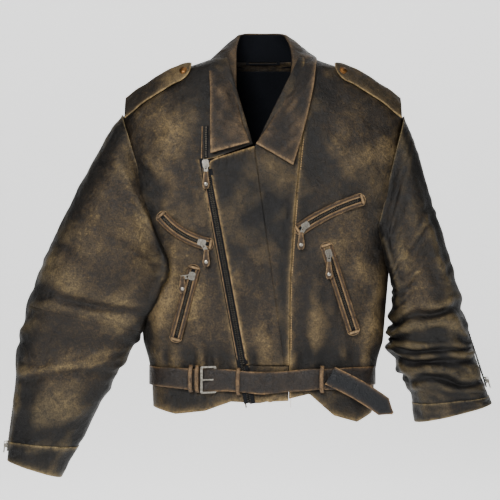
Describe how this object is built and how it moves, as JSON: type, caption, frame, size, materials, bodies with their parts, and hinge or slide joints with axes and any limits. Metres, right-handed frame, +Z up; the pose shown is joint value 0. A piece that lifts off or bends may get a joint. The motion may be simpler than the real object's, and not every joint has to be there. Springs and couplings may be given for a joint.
{
  "type": "leather riding jacket",
  "caption": "Waist-length leather riding jacket with an offset front zip, slanted zip pockets, epaulettes and a buckled belt, hanging closed.",
  "frame": {"origin": "centre of the neck seam's level, where a hanger's hook comes out of the collar", "axes": "+X towards the wearer's left sleeve, -Y out of the jacket's front, +Z up towards the collar"},
  "size_m": [0.8511, 0.2008, 0.784],
  "materials": {
    "shell_leather": "distressed cowhide, matt with worn edges",
    "sleeve_leather": "distressed cowhide, matt with worn edges",
    "collar_leather": "distressed cowhide, worn folded edges",
    "trim_leather": "folded leather welt, worn tan edge",
    "belt_leather": "belt leather, matt dark",
    "lining_cloth": "woven lining, soft",
    "zip_metal": "zip metal, slightly tarnished",
    "nickel": "nickel-plated, polished",
    "snap_brass": "aged brass"
  },
  "bodies": {
    "torso": {"back_lining": "lining_cloth", "back_panel": "shell_leather", "back_yoke": "shell_leather", "belt_loops": "belt_leather", "buckle_strap": "belt_leather", "collar_stand": "collar_leather", "front_linings": "lining_cloth", "hang_loop": "lining_cloth", "left_center_panel": "shell_leather", "left_chest_welt": "trim_leather", "left_front": "shell_leather", "left_hand_welt": "trim_leather", "main_zip_right_half": "zip_metal", "overlap_skirt": "shell_leather", "pocket_bags": "lining_cloth", "pocket_zip_chains": "zip_metal", "right_chest_welt": "trim_leather", "right_front": "shell_leather", "right_hand_welt": "trim_leather", "storm_flap": "shell_leather", "tongue_strap": "belt_leather"},
    "lapel": {"front_overlap": "shell_leather", "main_zip_left_half": "zip_metal"},
    "collar_back": {"collar_back_fall": "collar_leather"},
    "collar_right": {"collar_right_leaf": "collar_leather"},
    "collar_left": {"collar_left_leaf": "collar_leather"},
    "right_strap": {"right_epaulette": "shell_leather", "right_snap_cap": "snap_brass"},
    "right_arm": {"right_upper_sleeve": "sleeve_leather"},
    "right_forearm": {"right_lower_sleeve": "sleeve_leather", "right_cuff": "sleeve_leather", "right_cuff_zip": "zip_metal"},
    "right_cuff_pull": {"right_cuff_slider": "nickel"},
    "right_cuff_tag": {"right_cuff_puller": "nickel"},
    "left_strap": {"left_epaulette": "shell_leather", "left_snap_cap": "snap_brass"},
    "left_arm": {"left_upper_sleeve": "sleeve_leather"},
    "left_forearm": {"left_lower_sleeve": "sleeve_leather", "left_cuff": "sleeve_leather", "left_cuff_zip": "zip_metal"},
    "left_cuff_pull": {"left_cuff_slider": "nickel"},
    "left_cuff_tag": {"left_cuff_puller": "nickel"},
    "main_runner": {"main_slider": "nickel"},
    "main_pull": {"main_puller": "nickel"},
    "main_tag": {"main_tab": "shell_leather"},
    "right_chest_runner": {"right_chest_slider": "nickel"},
    "right_chest_pull": {"right_chest_puller": "nickel"},
    "right_chest_tag": {"right_chest_tab": "shell_leather"},
    "left_chest_runner": {"left_chest_slider": "nickel"},
    "left_chest_pull": {"left_chest_puller": "nickel"},
    "left_chest_tag": {"left_chest_tab": "shell_leather"},
    "right_hand_runner": {"right_hand_slider": "nickel"},
    "right_hand_pull": {"right_hand_puller": "nickel"},
    "right_hand_tag": {"right_hand_tab": "shell_leather"},
    "left_hand_runner": {"left_hand_slider": "nickel"},
    "left_hand_pull": {"left_hand_puller": "nickel"},
    "left_hand_tag": {"left_hand_tab": "shell_leather"},
    "buckle": {"buckle_frame": "nickel"},
    "prong": {"buckle_prong": "nickel"},
    "tail": {"belt_tail": "belt_leather"}
  },
  "joints": [
    {"name": "overlap_fold", "type": "hinge", "parent": "torso", "child": "lapel", "pos_m": [-0.0157, -0.092, -0.1575], "axis": [0.1375, 0, -0.9905], "range_deg": [-115, 0]},
    {"name": "collar_back_turn", "type": "hinge", "parent": "torso", "child": "collar_back", "pos_m": [0, 0.056, 0.05], "axis": [1, 0, 0], "range_deg": [0, 90]},
    {"name": "collar_right_turn", "type": "hinge", "parent": "torso", "child": "collar_right", "pos_m": [-0.048, -0.072, 0], "axis": [0.1796, -0.1602, -0.9706], "range_deg": [-90, 0]},
    {"name": "collar_left_turn", "type": "hinge", "parent": "torso", "child": "collar_left", "pos_m": [0.05, -0.072, 0], "axis": [-0.3631, -0.1517, -0.9193], "range_deg": [0, 90]},
    {"name": "right_epaulette_lift", "type": "hinge", "parent": "torso", "child": "right_strap", "pos_m": [-0.239, -0.006, -0.084], "axis": [0, 1, 0], "range_deg": [-60, 0]},
    {"name": "right_shoulder_raise", "type": "hinge", "parent": "torso", "child": "right_arm", "pos_m": [-0.243, 0, -0.105], "axis": [0, 1, 0], "range_deg": [0, 70]},
    {"name": "right_elbow_flex", "type": "hinge", "parent": "right_arm", "child": "right_forearm", "pos_m": [-0.3, -0.054, -0.4555], "axis": [1, 0, 0], "range_deg": [-75, 0]},
    {"name": "left_epaulette_lift", "type": "hinge", "parent": "torso", "child": "left_strap", "pos_m": [0.239, -0.006, -0.084], "axis": [0, 1, 0], "range_deg": [0, 60]},
    {"name": "left_shoulder_raise", "type": "hinge", "parent": "torso", "child": "left_arm", "pos_m": [0.243, 0, -0.105], "axis": [0, 1, 0], "range_deg": [-70, 0]},
    {"name": "left_elbow_flex", "type": "hinge", "parent": "left_arm", "child": "left_forearm", "pos_m": [0.3, -0.08, -0.4555], "axis": [1, 0, 0], "range_deg": [-75, 0]},
    {"name": "main_zip_travel", "type": "slide", "parent": "torso", "child": "main_runner", "axis": [0.1808, 0, -0.9835], "range_m": [0, 0.285]},
    {"name": "main_puller_flip", "type": "hinge", "parent": "main_runner", "child": "main_pull", "pos_m": [-0.098, -0.0982, -0.186], "axis": [-0.9988, 0, -0.0499], "range_deg": [0, 100]},
    {"name": "main_tab_swing", "type": "hinge", "parent": "main_pull", "child": "main_tag", "pos_m": [-0.09721, -0.0982, -0.20178], "axis": [0, 1, 0], "range_deg": [-28, 28]},
    {"name": "right_chest_zip_travel", "type": "hinge", "parent": "torso", "child": "right_chest_runner", "pos_m": [-0.06714, -0.092, -0.18924], "axis": [0, 1, 0], "range_deg": [0, 29.35]},
    {"name": "right_chest_puller_flip", "type": "hinge", "parent": "right_chest_runner", "child": "right_chest_pull", "pos_m": [-0.10472, -0.0982, -0.3198], "axis": [-0.867, 0, -0.4983], "range_deg": [0, 100]},
    {"name": "right_chest_tab_swing", "type": "hinge", "parent": "right_chest_pull", "child": "right_chest_tag", "pos_m": [-0.09685, -0.0982, -0.3335], "axis": [0, 1, 0], "range_deg": [-28, 28]},
    {"name": "left_chest_zip_travel", "type": "hinge", "parent": "torso", "child": "left_chest_runner", "pos_m": [0.27581, -0.092, -0.6044], "axis": [0, 1, 0], "range_deg": [0, 14.02]},
    {"name": "left_chest_puller_flip", "type": "hinge", "parent": "left_chest_runner", "child": "left_chest_pull", "pos_m": [0.07148, -0.0982, -0.29099], "axis": [-0.867, 0, 0.4983], "range_deg": [0, 100]},
    {"name": "left_chest_tab_swing", "type": "hinge", "parent": "left_chest_pull", "child": "left_chest_tag", "pos_m": [0.06361, -0.0982, -0.30469], "axis": [0, 1, 0], "range_deg": [-28, 28]},
    {"name": "right_hand_zip_travel", "type": "slide", "parent": "torso", "child": "right_hand_runner", "axis": [-0.2549, 0, -0.967], "range_m": [0, 0.09576]},
    {"name": "right_hand_puller_flip", "type": "hinge", "parent": "right_hand_runner", "child": "right_hand_pull", "pos_m": [-0.12129, -0.0982, -0.3767], "axis": [-0.14, 0, 0.9901], "range_deg": [0, 100]},
    {"name": "right_hand_tab_swing", "type": "hinge", "parent": "right_hand_pull", "child": "right_hand_tag", "pos_m": [-0.13694, -0.0982, -0.37892], "axis": [0, 1, 0], "range_deg": [-28, 28]},
    {"name": "left_hand_zip_travel", "type": "slide", "parent": "torso", "child": "left_hand_runner", "axis": [0.3078, 0, -0.9514], "range_m": [0, 0.12494]},
    {"name": "left_hand_puller_flip", "type": "hinge", "parent": "left_hand_runner", "child": "left_hand_pull", "pos_m": [0.11077, -0.0982, -0.33856], "axis": [-0.9998, 0, -0.02], "range_deg": [0, 100]},
    {"name": "left_hand_tab_swing", "type": "hinge", "parent": "left_hand_pull", "child": "left_hand_tag", "pos_m": [0.11109, -0.0982, -0.35436], "axis": [0, 1, 0], "range_deg": [-28, 28]},
    {"name": "right_cuff_zip_travel", "type": "slide", "parent": "right_forearm", "child": "right_cuff_pull", "axis": [0.1313, 0, 0.9913], "range_m": [0, 0.095]},
    {"name": "right_cuff_puller_flip", "type": "hinge", "parent": "right_cuff_pull", "child": "right_cuff_tag", "pos_m": [-0.45158, 0, -0.67124], "axis": [0, 1, 0], "range_deg": [0, 100]},
    {"name": "left_cuff_zip_travel", "type": "slide", "parent": "left_forearm", "child": "left_cuff_pull", "axis": [-0.2978, 0.1097, 0.9483], "range_m": [0, 0.095]},
    {"name": "left_cuff_puller_flip", "type": "hinge", "parent": "left_cuff_pull", "child": "left_cuff_tag", "pos_m": [0.39132, -0.01202, -0.55783], "axis": [-0.0329, -0.994, 0.1047], "range_deg": [0, 100]},
    {"name": "buckle_lift", "type": "hinge", "parent": "torso", "child": "buckle", "pos_m": [-0.082, -0.095, -0.552], "axis": [0, 0, 1], "range_deg": [0, 10]},
    {"name": "prong_lift", "type": "hinge", "parent": "buckle", "child": "prong", "pos_m": [-0.082, -0.095, -0.552], "axis": [0, 0, 1], "range_deg": [0, 30]},
    {"name": "belt_tail_swing", "type": "hinge", "parent": "torso", "child": "tail", "pos_m": [0.112, -0.098, -0.552], "axis": [0, 1, 0], "range_deg": [-24, 28]}
  ],
  "couplings": [
    {"joint": "collar_right_turn", "follows": "collar_back_turn", "ratio": -1},
    {"joint": "collar_left_turn", "follows": "collar_back_turn", "ratio": 1}
  ]
}
